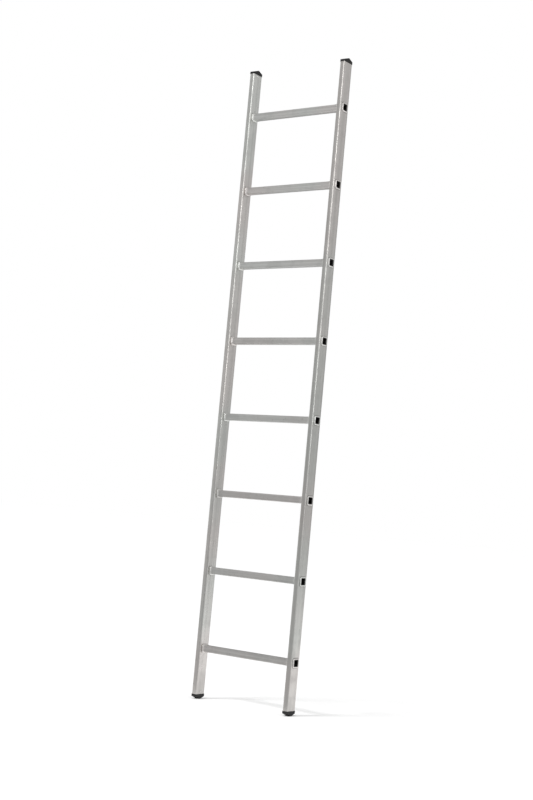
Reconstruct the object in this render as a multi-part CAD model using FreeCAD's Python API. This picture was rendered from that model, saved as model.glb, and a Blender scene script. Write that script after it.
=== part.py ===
# Single-section leaning ladder: two box stiles, swaged square rungs, ridged plastic end caps and
# their blind rivets. Millimetres. X runs along the rungs, +Y to the back, away from the climber,
# +Z up the stiles. The origin is on the ground, midway between the feet.
import FreeCAD, Part
import math
import os

from FreeCAD import Vector

os.makedirs("parts", exist_ok=True)

# Ladder
rung_count = 8
rung_pitch = 280.0          # centre to centre
overall_width = 420.0       # over the outer faces of the stiles
end_overhang = 163.5        # aluminium beyond the centre of each end rung

# Stile: a hollow box extrusion with well rounded corners
stile_width = 20.0
stile_depth = 50.0
stile_wall = 1.3
stile_corner = 5.0

# Rung: a rounded square tube
rung_height = 24.0
rung_depth = 25.0
rung_wall = 1.4
rung_corner = 3.0
rung_fit = 0.05             # clearance all round, between a rung and the holes in a stile

# Swaging that locks a rung in a stile
collar_length = 7.0         # bead against the inner face of the stile
collar_rise = 4.0
collar_round = 2.9
clamp_length = 2.6          # smaller bead inside the box, behind each of its walls
clamp_rise = 2.0
clamp_round = 1.0
lip_length = 3.6            # rolled lip on the outer face of the stile
lip_rise = 4.7
lip_round = 2.2
mouth_round = 2.8           # flare of the bore into the lip

# End cap: a collar and a ridge outside the stile, a hollow plug inside it
cap_overlap = 1.5           # how far the collar stands out round the stile
cap_edge = 7.0              # collar height at the front and back
cap_ridge = 10.0            # the ridge, before it is rounded, stands this much further out
cap_ridge_round = 3.0
cap_rim_round = 0.8
plug_length = 34.0
plug_wall = 2.2
plug_fit = 0.15             # clearance all round, between the plug and the bore of the stile

# Blind rivet through the inner wall of the stile and the plug
rivet_inset = 7.5           # centre, from the end of the aluminium
rivet_shank_radius = 2.0
rivet_fit = 0.05            # radial clearance
rivet_head_radius = 3.6
rivet_head_height = 1.3
rivet_head_round = 0.9
rivet_bulb_radius = 2.9
rivet_bulb_length = 2.4
rivet_bore_radius = 1.1
rivet_bore_depth = 1.6

# Worked out from the above
cap_slope = math.atan(cap_ridge / (stile_depth / 2.0 + cap_overlap))
ridge_loss = cap_ridge_round * (1.0 / math.cos(cap_slope) - 1.0)
cap_height = cap_edge + cap_ridge - ridge_loss
stile_length = (rung_count - 1) * rung_pitch + 2.0 * end_overhang
stile_bottom = cap_height
stile_top = stile_bottom + stile_length
ladder_middle = (stile_bottom + stile_top) / 2.0
first_rung = stile_bottom + end_overhang
stile_centre = (overall_width - stile_width) / 2.0
outer_face = overall_width / 2.0
inner_face = outer_face - stile_width
sides = {"left": -1.0, "right": 1.0}
across = Vector(1, 0, 0)


def stile_bar(inset, low, high):
    """The section of a stile, drawn in by inset all round, from one height to another."""
    half_width = stile_width / 2.0 - inset
    half_depth = stile_depth / 2.0 - inset
    size = (2.0 * half_width, 2.0 * half_depth, high - low)
    bar = Part.makeBox(*size, Vector(-half_width, -half_depth, low))
    upright = [edge for edge in bar.Edges if edge.BoundBox.ZLength > 0.5 * (high - low)]
    return bar.makeFillet(stile_corner - inset, upright)


def rung_bar(growth, start, end):
    """The outside section of a rung, grown by growth all round, from one X to another."""
    half_height = rung_height / 2.0 + growth
    half_depth = rung_depth / 2.0 + growth
    size = (end - start, 2.0 * half_depth, 2.0 * half_height)
    bar = Part.makeBox(*size, Vector(start, -half_depth, -half_height))
    along = [edge for edge in bar.Edges if edge.BoundBox.XLength > 0.5 * (end - start)]
    return bar.makeFillet(rung_corner + growth, along)


def edges_at_x(shape, places):
    """Edges that lie whole in one of the given planes across the rung."""
    found = []
    for edge in shape.Edges:
        box = edge.BoundBox
        if box.XLength < 0.01 and any(abs(box.Center.x - place) < 0.01 for place in places):
            found.append(edge)
    return found


def bead(rise, rounding, start, end, rounded_ends):
    """A swaged ring round the rung; the ends that are named get a rounded rim."""
    ring = rung_bar(rise, start, end)
    return ring.makeFillet(rounding, edges_at_x(ring, rounded_ends))


def make_rung():
    """One rung about the origin, swaged at both ends."""
    outer_end = outer_face + lip_length
    inner_wall = inner_face + stile_wall
    outer_wall = outer_face - stile_wall
    right_beads = [
        bead(collar_rise, collar_round, inner_face - collar_length, inner_face,
             [inner_face - collar_length, inner_face]),
        bead(clamp_rise, clamp_round, inner_wall, inner_wall + clamp_length, [inner_wall + clamp_length]),
        bead(clamp_rise, clamp_round, outer_wall - clamp_length, outer_wall, [outer_wall - clamp_length]),
        bead(lip_rise, lip_round, outer_face, outer_end, [outer_end]),
    ]
    left_beads = [ring.mirror(Vector(0, 0, 0), across) for ring in right_beads]
    tube = rung_bar(0.0, -outer_end, outer_end).fuse(right_beads + left_beads)
    bored = tube.cut(rung_bar(-rung_wall, -outer_end, outer_end))
    rims = edges_at_x(bored, [-outer_end, outer_end])
    return bored.makeFillet(mouth_round, [edge for edge in rims if is_on_bore(edge)])


def is_on_bore(edge):
    """True for an edge within the outside section of the rung."""
    box = edge.BoundBox
    reach_back = max(abs(box.YMin), abs(box.YMax))
    reach_up = max(abs(box.ZMin), abs(box.ZMax))
    return reach_back < rung_depth / 2.0 and reach_up < rung_height / 2.0


def make_right_stile():
    """Box extrusion, pierced through both walls for every rung and once for each cap rivet."""
    stile = stile_bar(0.0, stile_bottom, stile_top).cut(stile_bar(stile_wall, stile_bottom, stile_top))
    stile.translate(across * stile_centre)
    hole = rung_bar(rung_fit, inner_face - 1.0, outer_face + 1.0)
    for number in range(rung_count):
        stile = stile.cut(hole.translated(Vector(0, 0, first_rung + number * rung_pitch)))
    for height in (stile_bottom + rivet_inset, stile_top - rivet_inset):
        stile = stile.cut(rivet_hole(height, stile_wall))
    return stile


def rivet_hole(height, depth):
    """Clearance hole for a rivet, from the inner face of the right stile to a depth behind it."""
    start = Vector(inner_face - 1.0, 0, height)
    return Part.makeCylinder(rivet_shank_radius + rivet_fit, depth + 1.0, start, across)


def make_right_foot():
    """Collar and ridge below the end of the stile, hollow plug inside it."""
    half_depth = stile_depth / 2.0 + cap_overlap
    half_width = stile_width / 2.0 + cap_overlap
    eaves = stile_bottom - cap_edge
    ridge_line = eaves - cap_ridge
    gable = [
        Vector(-half_width, -half_depth, stile_bottom),
        Vector(-half_width, -half_depth, eaves),
        Vector(-half_width, 0, ridge_line),
        Vector(-half_width, half_depth, eaves),
        Vector(-half_width, half_depth, stile_bottom),
    ]
    prism = Part.Face(Part.makePolygon(gable + gable[:1])).extrude(across * (2.0 * half_width))
    ridge = [edge for edge in prism.Edges if edge.BoundBox.ZMax < ridge_line + 0.01]
    prism = prism.makeFillet(cap_ridge_round, ridge)
    head = stile_bar(-cap_overlap, ridge_line, stile_bottom).common(prism)
    sole_edges = [edge for edge in head.Edges if edge.BoundBox.ZMax < stile_bottom - 0.5 * cap_edge]
    head = head.makeFillet(cap_rim_round, [edge for edge in sole_edges if not is_across(edge)])
    plug_inset = stile_wall + plug_fit
    plug_top = stile_bottom + plug_length
    plug = stile_bar(plug_inset, stile_bottom, plug_top)
    plug = plug.cut(stile_bar(plug_inset + plug_wall, stile_bottom, plug_top))
    foot = head.fuse(plug).removeSplitter()
    foot.translate(across * stile_centre)
    wall_depth = stile_wall + plug_fit + plug_wall
    return foot.cut(rivet_hole(stile_bottom + rivet_inset, wall_depth + 0.5))


def is_across(edge):
    """True for a straight edge along X."""
    box = edge.BoundBox
    return box.YLength < 0.01 and box.ZLength < 0.01


def make_right_foot_rivet():
    """Domed head on the inner face, shank through both walls, bulb behind the plug wall."""
    height = stile_bottom + rivet_inset
    grip = stile_wall + plug_fit + plug_wall
    head_start = Vector(inner_face - rivet_head_height, 0, height)
    head = Part.makeCylinder(rivet_head_radius, rivet_head_height, head_start, across)
    head = head.makeFillet(rivet_head_round, edges_at_x(head, [inner_face - rivet_head_height]))
    shank = Part.makeCylinder(rivet_shank_radius, grip, Vector(inner_face, 0, height), across)
    bulb_start = Vector(inner_face + grip, 0, height)
    bulb = Part.makeCylinder(rivet_bulb_radius, rivet_bulb_length, bulb_start, across)
    bore = Part.makeCylinder(rivet_bore_radius, rivet_bore_depth, head_start, across)
    return head.fuse([shank, bulb]).cut(bore).removeSplitter()


def save(shape, node):
    """Write one piece as its own STEP file."""
    print(node, "solids", len(shape.Solids), "valid", shape.isValid(), "volume", round(shape.Volume, 1))
    shape.exportStep("parts/" + node + ".step")


def on_side(right_piece, sign):
    """The right-hand piece, or its mirror image on the left."""
    return right_piece if sign > 0 else right_piece.mirror(Vector(0, 0, 0), across)


right_stile = make_right_stile()
right_foot = make_right_foot()
right_foot_rivet = make_right_foot_rivet()
ladder_waist = Vector(0, 0, ladder_middle)
right_top_cap = right_foot.mirror(ladder_waist, Vector(0, 0, 1))
right_top_rivet = right_foot_rivet.mirror(ladder_waist, Vector(0, 0, 1))

for side, sign in sides.items():
    save(on_side(right_stile, sign), side + "_stile")
    save(on_side(right_foot, sign), side + "_foot")
    save(on_side(right_top_cap, sign), side + "_top_cap")
    save(on_side(right_foot_rivet, sign), side + "_foot_rivet")
    save(on_side(right_top_rivet, sign), side + "_top_rivet")

rung = make_rung()
for number in range(rung_count):
    height = first_rung + number * rung_pitch
    save(rung.translated(Vector(0, 0, height)), "rung_" + str(number + 1))
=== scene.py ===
import math

import bmesh
import bpy
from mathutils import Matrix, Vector


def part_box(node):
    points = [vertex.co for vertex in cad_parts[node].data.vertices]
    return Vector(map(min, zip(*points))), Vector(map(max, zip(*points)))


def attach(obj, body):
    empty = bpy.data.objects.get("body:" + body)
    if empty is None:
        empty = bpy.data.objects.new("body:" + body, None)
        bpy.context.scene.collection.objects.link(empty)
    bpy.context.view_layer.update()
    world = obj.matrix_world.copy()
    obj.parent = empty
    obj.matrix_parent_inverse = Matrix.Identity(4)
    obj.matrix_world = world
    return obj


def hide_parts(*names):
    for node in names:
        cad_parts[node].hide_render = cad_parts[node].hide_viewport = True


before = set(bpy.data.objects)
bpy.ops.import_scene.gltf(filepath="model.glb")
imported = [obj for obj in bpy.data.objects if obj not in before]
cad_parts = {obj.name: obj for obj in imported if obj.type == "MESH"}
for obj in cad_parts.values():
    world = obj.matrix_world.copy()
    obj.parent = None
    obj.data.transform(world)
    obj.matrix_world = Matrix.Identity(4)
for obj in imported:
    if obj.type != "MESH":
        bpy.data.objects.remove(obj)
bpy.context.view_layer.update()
print("frame loaded,", len(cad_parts), "nodes")


def addNode(tree, kind, **values):
    node = tree.nodes.new(kind)
    for key, value in values.items():
        setattr(node, key, value)
    return node


def addMath(tree, operation, a, b=None, clamp=False):
    node = addNode(tree, "ShaderNodeMath", operation=operation, use_clamp=clamp)
    for socket, value in zip(node.inputs, (a, b)):
        if isinstance(value, (int, float)):
            socket.default_value = value
        elif value is not None:
            tree.links.new(value, socket)
    return node.outputs[0]


def addNoise(tree, vector, scale, detail=2.0, roughness=0.5):
    node = addNode(tree, "ShaderNodeTexNoise")
    tree.links.new(vector, node.inputs["Vector"])
    node.inputs["Scale"].default_value = scale
    node.inputs["Detail"].default_value = detail
    node.inputs["Roughness"].default_value = roughness
    return node.outputs["Fac"]


def addStretch(tree, vector, scale):
    node = addNode(tree, "ShaderNodeMapping")
    tree.links.new(vector, node.inputs["Vector"])
    if isinstance(scale, tuple):
        node.inputs["Scale"].default_value = scale
    else:
        tree.links.new(scale, node.inputs["Scale"])
    return node.outputs["Vector"]


def addRange(tree, value, low, high, outLow=0.0, outHigh=1.0):
    node = addNode(tree, "ShaderNodeMapRange", interpolation_type="SMOOTHSTEP")
    tree.links.new(value, node.inputs["Value"])
    for name, number in zip(("From Min", "From Max", "To Min", "To Max"), (low, high, outLow, outHigh)):
        node.inputs[name].default_value = number
    return node.outputs["Result"]


def addMix(tree, factor, a, b, blend="MIX"):
    node = addNode(tree, "ShaderNodeMix", data_type="RGBA", blend_type=blend)
    for socket, value in zip((node.inputs[0], node.inputs[6], node.inputs[7]), (factor, a, b)):
        if isinstance(value, (int, float, tuple)):
            socket.default_value = value
        else:
            tree.links.new(value, socket)
    return node.outputs[2]


def newGroup(name, inputs, outputs):
    group = bpy.data.node_groups.new(name, "ShaderNodeTree")
    for title, kind, value in inputs:
        socket = group.interface.new_socket(title, in_out="INPUT", socket_type=kind)
        if value is not None:
            socket.default_value = value
    for title, kind in outputs:
        group.interface.new_socket(title, in_out="OUTPUT", socket_type=kind)
    return group, addNode(group, "NodeGroupInput"), addNode(group, "NodeGroupOutput")


def placeGroup(tree, group, **values):
    node = addNode(tree, "ShaderNodeGroup", node_tree=group)
    for title, value in values.items():
        socket = node.inputs[title]
        if isinstance(value, (int, float, tuple)):
            socket.default_value = value
        else:
            tree.links.new(value, socket)
    return node


def addShare(tree, operation, total, value, amount):
    # the total, with a share of the value added to it or taken from it
    return addMath(tree, operation, total, addMath(tree, "MULTIPLY", value, amount))


def addBump(tree, height, strength, distance):
    bump = addNode(tree, "ShaderNodeBump")
    bump.inputs["Strength"].default_value = strength
    bump.inputs["Distance"].default_value = distance
    tree.links.new(height, bump.inputs["Height"])
    return bump.outputs["Normal"]


dieLineLook = {"fineDetail": 3.0, "fineRoughness": 0.6, "broadDetail": 2.0, "bandEdges": (0.3, 0.7)}


def makeDieLines(look):
    # the fine lines and broad bands that an extrusion die leaves along a section
    group, source, sink = newGroup(
        "dieLines",
        [("Vector", "NodeSocketVector", None), ("Fine", "NodeSocketVector", (900.0, 900.0, 2.0)),
         ("Broad", "NodeSocketVector", (160.0, 160.0, 0.6))],
        [("Lines", "NodeSocketFloat"), ("Bands", "NodeSocketFloat")])
    vector = source.outputs["Vector"]
    drawn = addStretch(group, vector, source.outputs["Fine"])
    fine = addNoise(group, drawn, 1.0, look["fineDetail"], look["fineRoughness"])
    broad = addNoise(group, addStretch(group, vector, source.outputs["Broad"]), 1.0, look["broadDetail"])
    group.links.new(fine, sink.inputs["Lines"])
    group.links.new(addRange(group, broad, *look["bandEdges"]), sink.inputs["Bands"])
    return group


handlingLook = {
    "smudgeScale": 14.0, "smudgeDetail": 4.0, "smudgeRoughness": 0.6, "smudgeEdges": (0.42, 0.68),
    "patchScale": 5.0, "patchDetail": 2.0, "patchEdges": (0.52, 0.66),      # where scratches gather
    "scratchStretch": (40.0, 60.0, 420.0), "scratchDetail": 2.0, "scratchEdges": (0.66, 0.74),
    "knockScale": 110.0, "knockDetail": 1.0, "knockEdges": (0.70, 0.78),
}


def makeHandling(look):
    # smudges, small knocks and slanting scratches from carrying and stacking
    group, source, sink = newGroup(
        "handling",
        [("Vector", "NodeSocketVector", None), ("Scratch Amount", "NodeSocketFloat", 0.5)],
        [("Smudge", "NodeSocketFloat"), ("Scratch", "NodeSocketFloat"), ("Knock", "NodeSocketFloat")])
    vector = source.outputs["Vector"]
    smudge = addNoise(group, vector, look["smudgeScale"], look["smudgeDetail"], look["smudgeRoughness"])
    patch = addNoise(group, vector, look["patchScale"], look["patchDetail"])
    amount = addRange(group, patch, *look["patchEdges"])
    amount = addMath(group, "MULTIPLY", amount, source.outputs["Scratch Amount"])
    streak = addNoise(group, addStretch(group, vector, look["scratchStretch"]), 1.0, look["scratchDetail"])
    scratch = addMath(group, "MULTIPLY", addRange(group, streak, *look["scratchEdges"]), amount)
    knock = addNoise(group, vector, look["knockScale"], look["knockDetail"])
    group.links.new(addRange(group, smudge, *look["smudgeEdges"]), sink.inputs["Smudge"])
    group.links.new(scratch, sink.inputs["Scratch"])
    group.links.new(addRange(group, knock, *look["knockEdges"]), sink.inputs["Knock"])
    return group


def makeJointRing():
    # how far a point is from the outline of the nearest rung, and a thin ring just outside it
    group, source, sink = newGroup(
        "jointRing",
        [("Vector", "NodeSocketVector", None), ("First", "NodeSocketFloat", 0.18),
         ("Pitch", "NodeSocketFloat", 0.28), ("Half Depth", "NodeSocketFloat", 0.017),
         ("Half Height", "NodeSocketFloat", 0.017), ("Corner", "NodeSocketFloat", 0.007),
         ("Spread", "NodeSocketFloat", 0.002)],
        [("Ring", "NodeSocketFloat"), ("Away", "NodeSocketFloat")])
    axes = addNode(group, "ShaderNodeSeparateXYZ")
    group.links.new(source.outputs["Vector"], axes.inputs[0])
    half = addMath(group, "MULTIPLY", source.outputs["Pitch"], 0.5)
    wrap = addNode(group, "ShaderNodeMath", operation="WRAP")
    group.links.new(addMath(group, "SUBTRACT", axes.outputs["Z"], source.outputs["First"]), wrap.inputs[0])
    group.links.new(half, wrap.inputs[1])
    group.links.new(addMath(group, "MULTIPLY", half, -1.0), wrap.inputs[2])
    corner = source.outputs["Corner"]
    overs = []
    for reach, place in (("Half Depth", axes.outputs["Y"]), ("Half Height", wrap.outputs[0])):
        flat = addMath(group, "SUBTRACT", source.outputs[reach], corner)
        over = addMath(group, "SUBTRACT", addMath(group, "ABSOLUTE", place), flat)
        overs.append(addMath(group, "MAXIMUM", over, 0.0))
    squares = [addMath(group, "MULTIPLY", over, over) for over in overs]
    away = addMath(group, "SUBTRACT", addMath(group, "SQRT", addMath(group, "ADD", *squares)), corner)
    group.links.new(away, sink.inputs["Away"])
    share = addMath(group, "DIVIDE", away, source.outputs["Spread"])
    group.links.new(addRange(group, share, 0.0, 1.0, 1.0, 0.0), sink.inputs["Ring"])
    return group


dieLines = makeDieLines(dieLineLook)
jointRing = makeJointRing()
handling = makeHandling(handlingLook)
print("shared effects ready")


firstRungLow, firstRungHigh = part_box("rung_1")
stileInner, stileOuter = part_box("right_stile")[0].x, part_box("right_stile")[1].x
rungMiddle = (firstRungLow.z + firstRungHigh.z) / 2.0
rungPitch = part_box("rung_2")[0].z - firstRungLow.z

aluminiumLook = {
    "stile": {
        "fine": (800.0, 800.0, 1.2), "broad": (150.0, 150.0, 0.5),
        "roughness": 0.26, "bump": 0.05, "scratches": 0.6,
        # painted contact shade, with some grime, round each rung, faint on the inner face and strong on the
        # outer one
        "ring": {"First": rungMiddle, "Pitch": rungPitch, "Half Depth": firstRungHigh.y,
                 "Half Height": (firstRungHigh.z - firstRungLow.z) / 2.0, "Corner": 0.0077, "Spread": 0.0028},
        "ringFrom": (stileInner + stileOuter) / 2.0, "ringFade": 0.004, "ringShadeTones": (0.10, 0.55),
    },
    "rung": {
        "base": (0.71, 0.705, 0.695, 1.0), "fine": (3.0, 900.0, 900.0), "broad": (1.0, 170.0, 170.0),
        "roughness": 0.30, "bump": 0.2, "scratches": 0.9,
        # the swaged ends are painted brighter, partly real rubbed polish and partly a painted sheen
        "swagedFrom": stileInner - 0.012, "swagedFade": 0.006, "polishSheenTone": 0.18, "polishRough": 0.05,
        # the bore is painted dark from a little inside its mouth, as painted shade inside the tube
        "bore": {"First": rungMiddle, "Pitch": rungPitch, "Half Depth": 0.0125, "Half Height": 0.012,
                 "Corner": 0.0036},
        "mouth": (stileOuter - 0.0006, stileOuter + 0.0002), "mouthShift": 0.0010,
        "boreShadeTones": (-0.0009, -0.0003, 0.16, 1.0),
    },
}
# one aluminium in two copies: the left stile painted lighter and the right one darker, as stand-ins for how
# the light falls on each
stileLitShadedBases = {"left_stile": (0.69, 0.685, 0.67, 1.0), "right_stile": (0.63, 0.625, 0.61, 1.0)}
# what each effect does to the tone, the roughness and the bump
aluminiumWear = {
    "tintScale": 2.3, "tintDetail": 2.0, "tintEdges": (0.4, 0.6),
    "warm": (1.025, 0.99, 0.98, 1.0), "cool": (0.98, 1.0, 0.985, 1.0),
    "grain": (0.25, 0.75, 0.90, 1.06), "bands": (0.0, 1.0, 0.93, 1.04), "smudges": (0.0, 1.0, 1.0, 0.90),
    "scratchTone": 0.18, "knockTone": 0.15,
    "smudgeRough": 0.12, "bandRough": 0.06, "scratchSmooth": 0.1,
    "lineHeight": 0.7, "scratchHeight": 0.5, "knockHeight": 0.8, "bumpDistance": 0.0004,
}


def makeAluminium(name, look, wear):
    mat = bpy.data.materials.new(name)
    mat.use_nodes = True
    tree = mat.node_tree
    shader = tree.nodes["Principled BSDF"]
    place = addNode(tree, "ShaderNodeTexCoord").outputs["Object"]
    lines = placeGroup(tree, dieLines, Vector=place, Fine=look["fine"], Broad=look["broad"])
    marks = placeGroup(tree, handling, **{"Vector": place, "Scratch Amount": look["scratches"]})
    axes = addNode(tree, "ShaderNodeSeparateXYZ")
    tree.links.new(place, axes.inputs[0])
    across = addMath(tree, "ABSOLUTE", axes.outputs["X"])

    tint = addRange(tree, addNoise(tree, place, wear["tintScale"], wear["tintDetail"]), *wear["tintEdges"])
    tone = addMix(tree, 1.0, look["base"], addMix(tree, tint, wear["warm"], wear["cool"]), "MULTIPLY")
    grain = addRange(tree, lines.outputs["Lines"], *wear["grain"])
    bands = addRange(tree, lines.outputs["Bands"], *wear["bands"])
    shade = addMath(tree, "MULTIPLY", grain, bands)
    shade = addMath(tree, "MULTIPLY", shade, addRange(tree, marks.outputs["Smudge"], *wear["smudges"]))
    shade = addShare(tree, "ADD", shade, marks.outputs["Scratch"], wear["scratchTone"])
    shade = addShare(tree, "SUBTRACT", shade, marks.outputs["Knock"], wear["knockTone"])
    if "ring" in look:
        ring = placeGroup(tree, jointRing, Vector=place, **look["ring"])
        start = look["ringFrom"]
        outside = addRange(tree, across, start, start + look["ringFade"], *look["ringShadeTones"])
        # painted contact shade, with some grime: a thin dark ring round each rung's joint, stronger on the
        # outer face
        contactShadeAndGrime = addMath(tree, "MULTIPLY", ring.outputs["Ring"], outside)
        shade = addMath(tree, "MULTIPLY", shade, addMath(tree, "SUBTRACT", 1.0, contactShadeAndGrime))
    if "bore" in look:
        start = look["swagedFrom"]
        polishAndSheen = addRange(tree, across, start, start + look["swagedFade"])
        # the swaged ends' colour is lifted: rubbed polish with a painted sheen on top
        shade = addShare(tree, "ADD", shade, polishAndSheen, look["polishSheenTone"])
        # painted shade: the colour inside the bore darkens with depth past its mouth
        bore = placeGroup(tree, jointRing, Vector=place, **look["bore"])
        mouth = addRange(tree, across, *look["mouth"], 0.0, look["mouthShift"])
        depth = addMath(tree, "SUBTRACT", bore.outputs["Away"], mouth)
        shade = addMath(tree, "MULTIPLY", shade, addRange(tree, depth, *look["boreShadeTones"]))
    combined = addNode(tree, "ShaderNodeCombineColor")
    for socket in combined.inputs:
        tree.links.new(shade, socket)
    tree.links.new(addMix(tree, 1.0, tone, combined.outputs[0], "MULTIPLY"), shader.inputs["Base Color"])

    rough = addMath(tree, "MULTIPLY", marks.outputs["Smudge"], wear["smudgeRough"])
    rough = addMath(tree, "ADD", rough, look["roughness"])
    rough = addShare(tree, "ADD", rough, lines.outputs["Bands"], wear["bandRough"])
    rough = addShare(tree, "SUBTRACT", rough, marks.outputs["Scratch"], wear["scratchSmooth"])
    if "bore" in look:
        rough = addShare(tree, "ADD", rough, polishAndSheen, look["polishRough"])
    tree.links.new(rough, shader.inputs["Roughness"])

    height = addMath(tree, "MULTIPLY", lines.outputs["Lines"], wear["lineHeight"])
    height = addShare(tree, "SUBTRACT", height, marks.outputs["Scratch"], wear["scratchHeight"])
    height = addShare(tree, "SUBTRACT", height, marks.outputs["Knock"], wear["knockHeight"])
    tree.links.new(addBump(tree, height, look["bump"], wear["bumpDistance"]), shader.inputs["Normal"])
    shader.inputs["Metallic"].default_value = 1.0
    return mat


capLook = {
    "base": (0.006, 0.006, 0.0065, 1.0), "scuffed": (0.035, 0.034, 0.033, 1.0),
    "roughness": 0.5, "specular": 0.3, "scratches": 0.8, "smudgeScuff": 0.45, "scuffRough": 0.25,
    "grain": 900.0, "grainDetail": 2.0, "bump": 0.35, "bumpDistance": 0.0002,
}


def makeCapPlastic(look):
    mat = bpy.data.materials.new("capPlastic")
    mat.use_nodes = True
    tree = mat.node_tree
    shader = tree.nodes["Principled BSDF"]
    shader.inputs["Specular IOR Level"].default_value = look["specular"]
    place = addNode(tree, "ShaderNodeTexCoord").outputs["Object"]
    marks = placeGroup(tree, handling, **{"Vector": place, "Scratch Amount": look["scratches"]})
    grain = addNoise(tree, place, look["grain"], look["grainDetail"])
    scuff = addMath(tree, "MULTIPLY", marks.outputs["Smudge"], look["smudgeScuff"])
    scuff = addMath(tree, "ADD", scuff, marks.outputs["Scratch"], clamp=True)
    tree.links.new(addMix(tree, scuff, look["base"], look["scuffed"]), shader.inputs["Base Color"])
    rough = addMath(tree, "ADD", addMath(tree, "MULTIPLY", scuff, look["scuffRough"]), look["roughness"])
    tree.links.new(rough, shader.inputs["Roughness"])
    tree.links.new(addBump(tree, grain, look["bump"], look["bumpDistance"]), shader.inputs["Normal"])
    return mat


stileMetals = {}
for name, base in stileLitShadedBases.items():
    side = name.split("_")[0]
    look = {**aluminiumLook["stile"], "base": base}
    stileMetals[name] = makeAluminium(side + "StileMetal", look, aluminiumWear)
rungMetal = makeAluminium("rungMetal", aluminiumLook["rung"], aluminiumWear)
capPlastic = makeCapPlastic(capLook)
print("finishes ready")


def giveFinish(piece, mat):
    piece.data.materials.clear()
    piece.data.materials.append(mat)


rungShape = {
    "corner": 0.003,
    "cornerSteps": 7,
    "wall": 0.0014,
    "stileWall": 0.0013,
    "bellLength": 0.010,       # the tube swells gently before the bead
    "bellRise": 0.0007,
    "bellSteps": 4,
    "beadLength": 0.0068,
    "beadRise": 0.0039,
    "beadTurn": 0.86,          # less than a half turn, so the bead is still full at the stile
    "beadFullness": 0.6,
    "grooveDepth": 0.24,       # the groove between the bead's two humps
    "grooveWidth": 0.1,
    "clampLength": 0.0026,     # smaller bead inside the box, behind each wall
    "clampRise": 0.0019,
    "clampSteps": 4,
    "lipLength": 0.0035,
    "lipRise": 0.0046,
    "lipSeat": 0.97,           # share of its rise where the lip lies on the stile
    "lipFullness": 0.9,
    "lipTuck": 0.0008,         # how far the lip turns back into the bore
    "lipGrowth": 0.0047,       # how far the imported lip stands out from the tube
    "roundSteps": 9,
    "dentDepth": 0.00035,
    "dentSize": 0.012,
    "dentMargin": 0.0008,      # no dents this near to the stile
    "smoothAngle": 40.0,
    "seatGap": 0.00004,
    "leastStep": 2e-6,
}


def halfRound(start, end, rise, steps):
    # points over a rounded bead, as place along X and growth of the section
    middle, reach = (start + end) / 2.0, (end - start) / 2.0
    turns = [math.pi * step / steps for step in range(steps + 1)]
    return [(middle - reach * math.cos(turn), rise * math.sin(turn)) for turn in turns]


def pressedBead(start, end, shape):
    # two soft humps with a groove between them, still full where they press on the stile
    low, rise, steps = shape["bellRise"], shape["beadRise"], 2 * shape["roundSteps"]
    points = []
    for step in range(1, steps + 1):
        share = step / steps
        hump = math.sin(math.pi * shape["beadTurn"] * share) ** shape["beadFullness"]
        groove = 1.0 - shape["grooveDepth"] * math.exp(-((share - 0.5) / shape["grooveWidth"]) ** 2)
        points.append((start + (end - start) * share, low + (rise - low) * hump * groove))
    return points


def rungPath(inner, outer, shape):
    # the tube's outside from the blank to the lip, and round it to just inside the bore
    gap, rise, steps = shape["seatGap"], shape["clampRise"], shape["clampSteps"]
    beadStart = inner - shape["beadLength"]
    path = []
    for step in range(1, shape["bellSteps"] + 1):
        share = step / shape["bellSteps"]
        path.append((beadStart - shape["bellLength"] * (1.0 - share),
                     shape["bellRise"] * (3.0 - 2.0 * share) * share ** 2))
    path += pressedBead(beadStart, inner - gap, shape)
    clampStart = inner + shape["stileWall"]
    clampEnd = outer - shape["stileWall"]
    path += [(inner, 0.0), (clampStart, 0.0)]
    path += halfRound(clampStart + gap, clampStart + shape["clampLength"], rise, steps)
    path += halfRound(clampEnd - shape["clampLength"], clampEnd - gap, rise, steps)
    path += [(clampEnd, 0.0), (outer, 0.0)]
    # the lip rolls out over the stile's face and back into the bore
    seat = outer + gap
    bore = -shape["wall"]
    middle, reach = (shape["lipRise"] + bore) / 2.0, (shape["lipRise"] - bore) / 2.0
    lipSteps = 2 * shape["roundSteps"]
    path.append((seat, shape["lipRise"] * shape["lipSeat"]))
    for step in range(1, lipSteps):
        turn = math.pi * step / lipSteps
        path.append((seat + shape["lipLength"] * math.sin(turn) ** shape["lipFullness"],
                     middle + reach * math.cos(turn)))
    path.append((seat - shape["lipTuck"], bore))
    return path


def selectAtX(piece, place, tolerance=1e-5):
    mesh = bmesh.from_edit_mesh(piece.data)
    for vertex in mesh.verts:
        vertex.select_set(abs(vertex.co.x - place) < tolerance)
    mesh.select_flush(True)
    bmesh.update_edit_mesh(piece.data)


def drawRim(piece, path, place, leastStep):
    # the selected rim is drawn out along the path, one ring at a time
    growth = 0.0
    for nextPlace, nextGrowth in path:
        step = nextPlace - place
        if abs(step) < leastStep:
            step = math.copysign(leastStep, step)
        bpy.ops.mesh.extrude_region_move(TRANSFORM_OT_translate={"value": (step, 0.0, 0.0)})
        mesh = bmesh.from_edit_mesh(piece.data)
        mesh.normal_update()
        change = nextGrowth - growth
        for vertex in (v for v in mesh.verts if v.select):
            outward = Vector((0.0, vertex.normal.y, vertex.normal.z)).normalized()
            if outward.dot(Vector((0.0, vertex.co.y, vertex.co.z))) < 0.0:
                outward.negate()
            vertex.co += outward * change
        bmesh.update_edit_mesh(piece.data)
        place += step
        growth = nextGrowth


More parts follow.
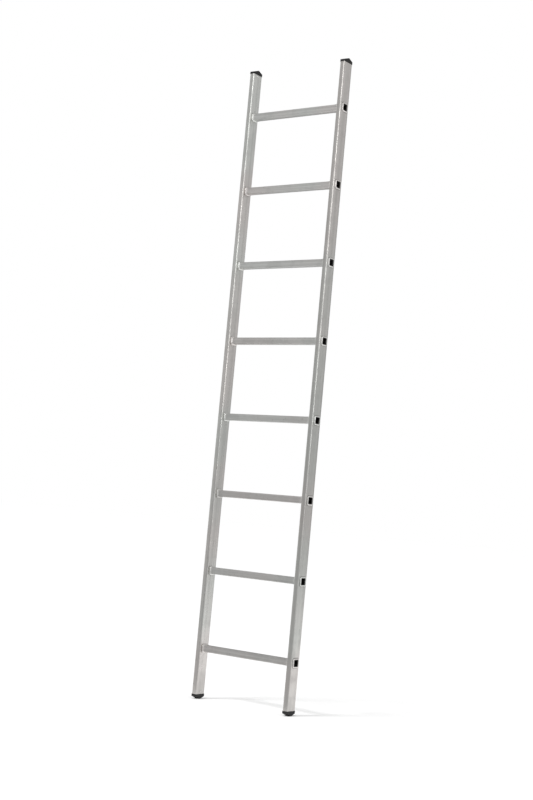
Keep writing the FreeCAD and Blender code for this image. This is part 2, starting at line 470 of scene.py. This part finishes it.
def makeRungMaster(shape):
    # one tube, centred on the origin
    depth = firstRungHigh.y - firstRungLow.y - 2.0 * shape["lipGrowth"]
    height = firstRungHigh.z - firstRungLow.z - 2.0 * shape["lipGrowth"]
    blank = stileInner - shape["beadLength"] - shape["bellLength"]
    bpy.ops.object.select_all(action="DESELECT")
    bpy.ops.mesh.primitive_cube_add(size=1.0)
    piece = bpy.context.object
    piece.scale = (2.0 * blank, depth, height)
    bpy.ops.object.transform_apply(scale=True)
    bpy.ops.object.mode_set(mode="EDIT")
    mesh = bmesh.from_edit_mesh(piece.data)
    for edge in mesh.edges:
        edge.select_set(abs(edge.verts[0].co.x - edge.verts[1].co.x) > blank)
    bmesh.update_edit_mesh(piece.data)
    bpy.ops.mesh.bevel(offset=shape["corner"], segments=shape["cornerSteps"], affect="EDGES")
    bpy.ops.mesh.select_all(action="DESELECT")
    mesh = bmesh.from_edit_mesh(piece.data)
    for face in mesh.faces:
        face.select_set(abs(face.normal.x) > 0.5)
    bmesh.update_edit_mesh(piece.data)
    bpy.ops.mesh.delete(type="ONLY_FACE")
    for side in (-1.0, 1.0):
        bpy.ops.mesh.select_all(action="DESELECT")
        selectAtX(piece, side * blank)
        path = [(side * place, growth) for place, growth in rungPath(stileInner, stileOuter, shape)]
        drawRim(piece, path, side * blank, shape["leastStep"])
    # the bore joins the two open ends
    bpy.ops.mesh.select_all(action="DESELECT")
    mesh = bmesh.from_edit_mesh(piece.data)
    for edge in mesh.edges:
        if edge.is_boundary:
            edge.select_set(True)
    bmesh.update_edit_mesh(piece.data)
    bpy.ops.mesh.bridge_edge_loops()
    bpy.ops.mesh.select_all(action="SELECT")
    bpy.ops.mesh.normals_make_consistent(inside=False)
    bpy.ops.object.mode_set(mode="OBJECT")
    return piece


def makeRungs(master, shape):
    dent = bpy.data.textures.new("swageDents", "CLOUDS")
    dent.noise_scale = shape["dentSize"]
    dentStart = stileInner - shape["beadLength"]
    dentEnd = stileInner - shape["dentMargin"]
    for name in sorted(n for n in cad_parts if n.startswith("rung")):
        low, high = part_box(name)
        piece = master.copy()
        piece.data = master.data.copy()
        piece.name = name + "_tube"
        bpy.context.scene.collection.objects.link(piece)
        for vertex in piece.data.vertices:
            vertex.co.z += (low.z + high.z) / 2.0
        swaged = piece.vertex_groups.new(name="swaged")
        ringPoints = [v.index for v in piece.data.vertices if dentStart < abs(v.co.x) < dentEnd]
        swaged.add(ringPoints, 1.0, "REPLACE")
        bpy.ops.object.select_all(action="DESELECT")
        bpy.context.view_layer.objects.active = piece
        piece.select_set(True)
        dents = piece.modifiers.new("dents", "DISPLACE")
        dents.texture = dent
        dents.texture_coords = "GLOBAL"
        dents.strength = shape["dentDepth"]
        dents.vertex_group = "swaged"
        bpy.ops.object.modifier_apply(modifier="dents")
        bpy.ops.object.shade_smooth_by_angle(angle=math.radians(shape["smoothAngle"]))
        giveFinish(piece, rungMetal)
        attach(piece, "root")
        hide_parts(name)
    bpy.data.objects.remove(master)


master = makeRungMaster(rungShape)
print("rung master:", len(master.data.vertices), "points")
makeRungs(master, rungShape)
print("rungs ready")

for name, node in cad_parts.items():
    if "stile" in name:
        giveFinish(node, stileMetals[name])
    elif name.startswith("rung") or "rivet" in name:
        giveFinish(node, rungMetal)
    else:
        giveFinish(node, capPlastic)


cameraView = {
    "place": (2.945, -4.046, 0.674),
    "tilt": 94.73,        # degrees about X, from looking straight down
    "roll": -5.23,        # the ladder stands upright, so the lean that is seen comes from the roll
    "turn": 35.757,
    "lens": 63.1,
    "reach": 100.0,
}


def addCamera(view):
    data = bpy.data.cameras.new("camera")
    data.lens = view["lens"]
    data.clip_end = view["reach"]
    camera = bpy.data.objects.new("camera", data)
    bpy.context.scene.collection.objects.link(camera)
    camera.location = view["place"]
    camera.rotation_euler = [math.radians(view[a]) for a in ("tilt", "roll", "turn")]
    bpy.context.scene.camera = camera


studio = {
    "floorSize": 120.0,
    "floorTone": 0.93,
    "floorRoughness": 0.7,
    "mirroredTone": 0.56,      # what the metal mirrors
    "softTone": 0.74,          # what lights the floor and the plastic
    "backdropTone": 1.0,       # what the camera sees
    "sunStrength": 1.5,
    "sunAngle": 15.0,
    "sunFrom": (-0.33, -0.94, 1.0),
}
# azimuth runs from -Y towards +X, and glow is the radiance
softboxes = {
    "besideCamera": {"azimuth": 46.0, "elevation": 9.5, "distance": 6.5,
                     "width": 2.1, "height": 1.9, "glow": 3.4},
    "aboveCamera": {"azimuth": 12.0, "elevation": 28.0, "distance": 6.5,
                    "width": 2.6, "height": 2.2, "glow": 3.0},
    "behindRight": {"azimuth": 116.0, "elevation": 22.0, "distance": 7.0,
                    "width": 4.6, "height": 5.0, "glow": 0.38},
}
# flags, seen only in reflections, that darken what the metal mirrors
flags = {
    "standingFlag": {"azimuth": 6.0, "near": 3.4, "far": 3.4, "width": 8.0, "height": 1.22, "tone": 0.36},
    "lyingFlag": {"azimuth": 6.0, "near": 0.12, "far": 3.4, "width": 8.0, "height": 0.0, "tone": 0.52},
    "backFlag": {"azimuth": 197.0, "near": 5.0, "far": 5.0, "width": 5.5, "height": 4.2, "tone": 0.26},
    "underFlag": {"azimuth": 216.0, "near": 1.6, "far": 14.0, "width": 12.0, "height": 0.0, "tone": 0.62},
    "sideFlag": {"azimuth": 144.0, "near": 6.5, "far": 6.5, "width": 12.0, "height": 1.6, "tone": 0.5},
}
aimPoint = Vector((0.0, 0.0, 1.2))
flagLift = Vector((0.0, 0.0, 0.002))


def addFloor(look):
    bpy.ops.object.select_all(action="DESELECT")
    bpy.ops.mesh.primitive_plane_add(size=look["floorSize"], location=(0, 0, 0))
    floor = bpy.context.object
    floor.name = "floor"
    mat = bpy.data.materials.new("floorPaint")
    mat.use_nodes = True
    shader = mat.node_tree.nodes["Principled BSDF"]
    shader.inputs["Base Color"].default_value = (look["floorTone"],) * 3 + (1,)
    shader.inputs["Roughness"].default_value = look["floorRoughness"]
    shader.inputs["Specular IOR Level"].default_value = 0.0
    floor.data.materials.append(mat)


def addSky(look):
    world = bpy.data.worlds.new("studio")
    bpy.context.scene.world = world
    world.use_nodes = True
    tree = world.node_tree
    background = tree.nodes["Background"]
    rays = addNode(tree, "ShaderNodeLightPath")
    tone = addRange(tree, rays.outputs["Is Glossy Ray"], 0.0, 1.0, look["softTone"], look["mirroredTone"])
    gain = addMath(tree, "MULTIPLY", rays.outputs["Is Camera Ray"], look["backdropTone"] - look["softTone"])
    tree.links.new(addMath(tree, "ADD", tone, gain), background.inputs["Strength"])
    background.inputs["Color"].default_value = (1, 1, 1, 1)


def addSun(look):
    data = bpy.data.lights.new("sun", "SUN")
    data.energy = look["sunStrength"]
    data.angle = math.radians(look["sunAngle"])
    sun = bpy.data.objects.new("sun", data)
    bpy.context.scene.collection.objects.link(sun)
    sun.rotation_euler = Vector(look["sunFrom"]).to_track_quat("Z", "Y").to_euler()
    sun.visible_glossy = False


def addSoftbox(name, box):
    data = bpy.data.lights.new(name, "AREA")
    data.shape = "RECTANGLE"
    data.size = box["width"]
    data.size_y = box["height"]
    data.energy = box["glow"] * math.pi * box["width"] * box["height"]
    light = bpy.data.objects.new(name, data)
    bpy.context.scene.collection.objects.link(light)
    azimuth, elevation = math.radians(box["azimuth"]), math.radians(box["elevation"])
    level = math.cos(elevation)
    away = Vector((math.sin(azimuth) * level, -math.cos(azimuth) * level, math.sin(elevation)))
    light.location = aimPoint + away * box["distance"]
    light.rotation_euler = away.to_track_quat("Z", "Y").to_euler()
    light.visible_camera = False


def addFlag(name, look):
    azimuth = math.radians(look["azimuth"])
    away = Vector((math.sin(azimuth), -math.cos(azimuth), 0.0))
    side = Vector((math.cos(azimuth), math.sin(azimuth), 0.0)) * (look["width"] / 2.0)
    low, high = away * look["near"], away * look["far"] + Vector((0.0, 0.0, look["height"]))
    bpy.ops.object.select_all(action="DESELECT")
    bpy.ops.mesh.primitive_plane_add(size=1.0)
    flag = bpy.context.object
    flag.name = name
    for vertex, corner in zip(flag.data.vertices, (low - side, low + side, high - side, high + side)):
        vertex.co = corner + flagLift
    mat = bpy.data.materials.new(name)
    mat.use_nodes = True
    shader = mat.node_tree.nodes["Principled BSDF"]
    shader.inputs["Base Color"].default_value = (0.0, 0.0, 0.0, 1.0)
    shader.inputs["Specular IOR Level"].default_value = 0.0
    shader.inputs["Emission Color"].default_value = (1.0, 1.0, 1.0, 1.0)
    shader.inputs["Emission Strength"].default_value = look["tone"]
    flag.data.materials.append(mat)
    for kind in ("camera", "diffuse", "shadow", "transmission", "volume_scatter"):
        setattr(flag, "visible_" + kind, False)


addCamera(cameraView)
bpy.context.scene.view_settings.view_transform = "Standard"
addFloor(studio)
addSky(studio)
addSun(studio)
for name, box in softboxes.items():
    addSoftbox(name, box)
for name, look in flags.items():
    addFlag(name, look)
print("studio ready")
